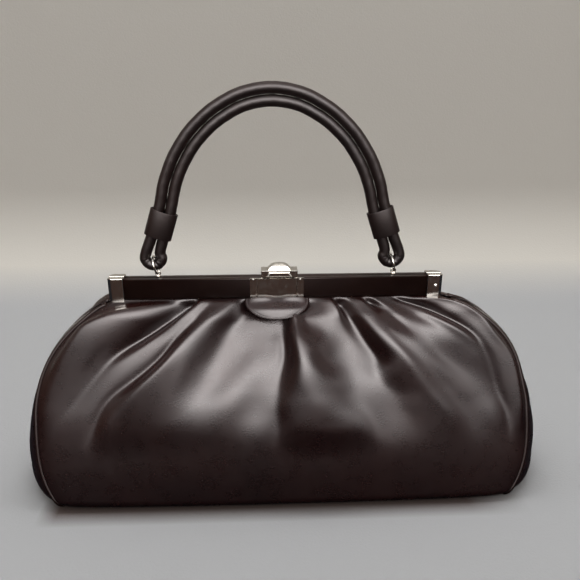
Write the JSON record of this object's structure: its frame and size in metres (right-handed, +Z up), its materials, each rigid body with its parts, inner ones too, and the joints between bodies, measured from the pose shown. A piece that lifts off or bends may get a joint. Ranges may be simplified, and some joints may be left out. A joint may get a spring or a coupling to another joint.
{
  "type": "frame handbag",
  "caption": "Gathered leather handbag on a hinged metal frame, with a lift-lever clasp and a rolled leather handle on two rings.",
  "frame": {"origin": "on the table, under the middle of the bag", "axes": "+X to the bag's right as seen from the front, -Y to the front with the clasp plate, +Z up"},
  "size_m": [0.34, 0.0986, 0.2531],
  "materials": {
    "body_leather": "glossy dark brown",
    "trim_leather": "glossy, worn lighter on the ridge",
    "handle_leather": "glossy rolled leather",
    "nickel": "worn bright nickel",
    "steel": "plain",
    "lining_cloth": "ribbed satin cloth",
    "board": "fibre board"
  },
  "bodies": {
    "bag": {"body_shell": "body_leather", "left_gusset": "body_leather", "right_gusset": "body_leather", "left_piping": "trim_leather", "right_piping": "trim_leather", "base_board": "board", "lining_bag": "lining_cloth", "inner_pocket": "lining_cloth", "left_hinge_rivet": "nickel", "right_hinge_rivet": "nickel"},
    "front_frame": {"front_rail": "steel", "front_rail_cover": "body_leather", "front_inner_strip": "steel", "front_left_cap": "nickel", "front_right_cap": "nickel", "front_cap_rivet": "nickel", "front_panel_top": "body_leather", "front_lining_top": "lining_cloth", "clasp_plate": "nickel", "clasp_keeper": "nickel", "lock_tab": "body_leather"},
    "rear_frame": {"rear_rail": "steel", "rear_rail_cover": "body_leather", "rear_inner_strip": "steel", "rear_left_cap": "nickel", "rear_right_cap": "nickel", "rear_panel_top": "body_leather", "rear_lining_top": "lining_cloth", "clasp_bracket": "nickel", "clasp_pin": "steel", "clasp_spring": "steel", "left_eye": "nickel", "right_eye": "nickel"},
    "clasp_lever": {"clasp_lever": "nickel", "clasp_thumb_piece": "nickel"},
    "left_ring": {"left_ring": "nickel"},
    "right_ring": {"right_ring": "nickel"},
    "handle": {"handle_loop": "handle_leather", "left_collar": "handle_leather", "right_collar": "handle_leather"}
  },
  "joints": [
    {"name": "rear_frame_open", "type": "hinge", "parent": "bag", "child": "rear_frame", "pos_m": [0, 0, 0.085], "axis": [-1, 0, 0], "range_deg": [0, 35]},
    {"name": "front_frame_open", "type": "hinge", "parent": "bag", "child": "front_frame", "pos_m": [0, 0, 0.085], "axis": [1, 0, 0], "range_deg": [0, 35]},
    {"name": "clasp_lift", "type": "hinge", "parent": "rear_frame", "child": "clasp_lever", "pos_m": [0.0016, 0.0035, 0.1394], "axis": [-1, 0, 0], "range_deg": [0, 100]},
    {"name": "left_ring_swing", "type": "hinge", "parent": "rear_frame", "child": "left_ring", "pos_m": [-0.0746, 0.00228, 0.1391], "axis": [1, 0, 0], "range_deg": [-20, 20]},
    {"name": "right_ring_swing", "type": "hinge", "parent": "rear_frame", "child": "right_ring", "pos_m": [0.0746, 0.00228, 0.1391], "axis": [1, 0, 0], "range_deg": [-30, 30]},
    {"name": "handle_fold", "type": "hinge", "parent": "left_ring", "child": "handle", "pos_m": [-0.07574, 0.00228, 0.14448], "axis": [1, 0, 0], "range_deg": [-70, 70]}
  ],
  "couplings": [
    {"joint": "front_frame_open", "follows": "rear_frame_open", "ratio": 1},
    {"joint": "right_ring_swing", "follows": "left_ring_swing", "ratio": 1}
  ]
}
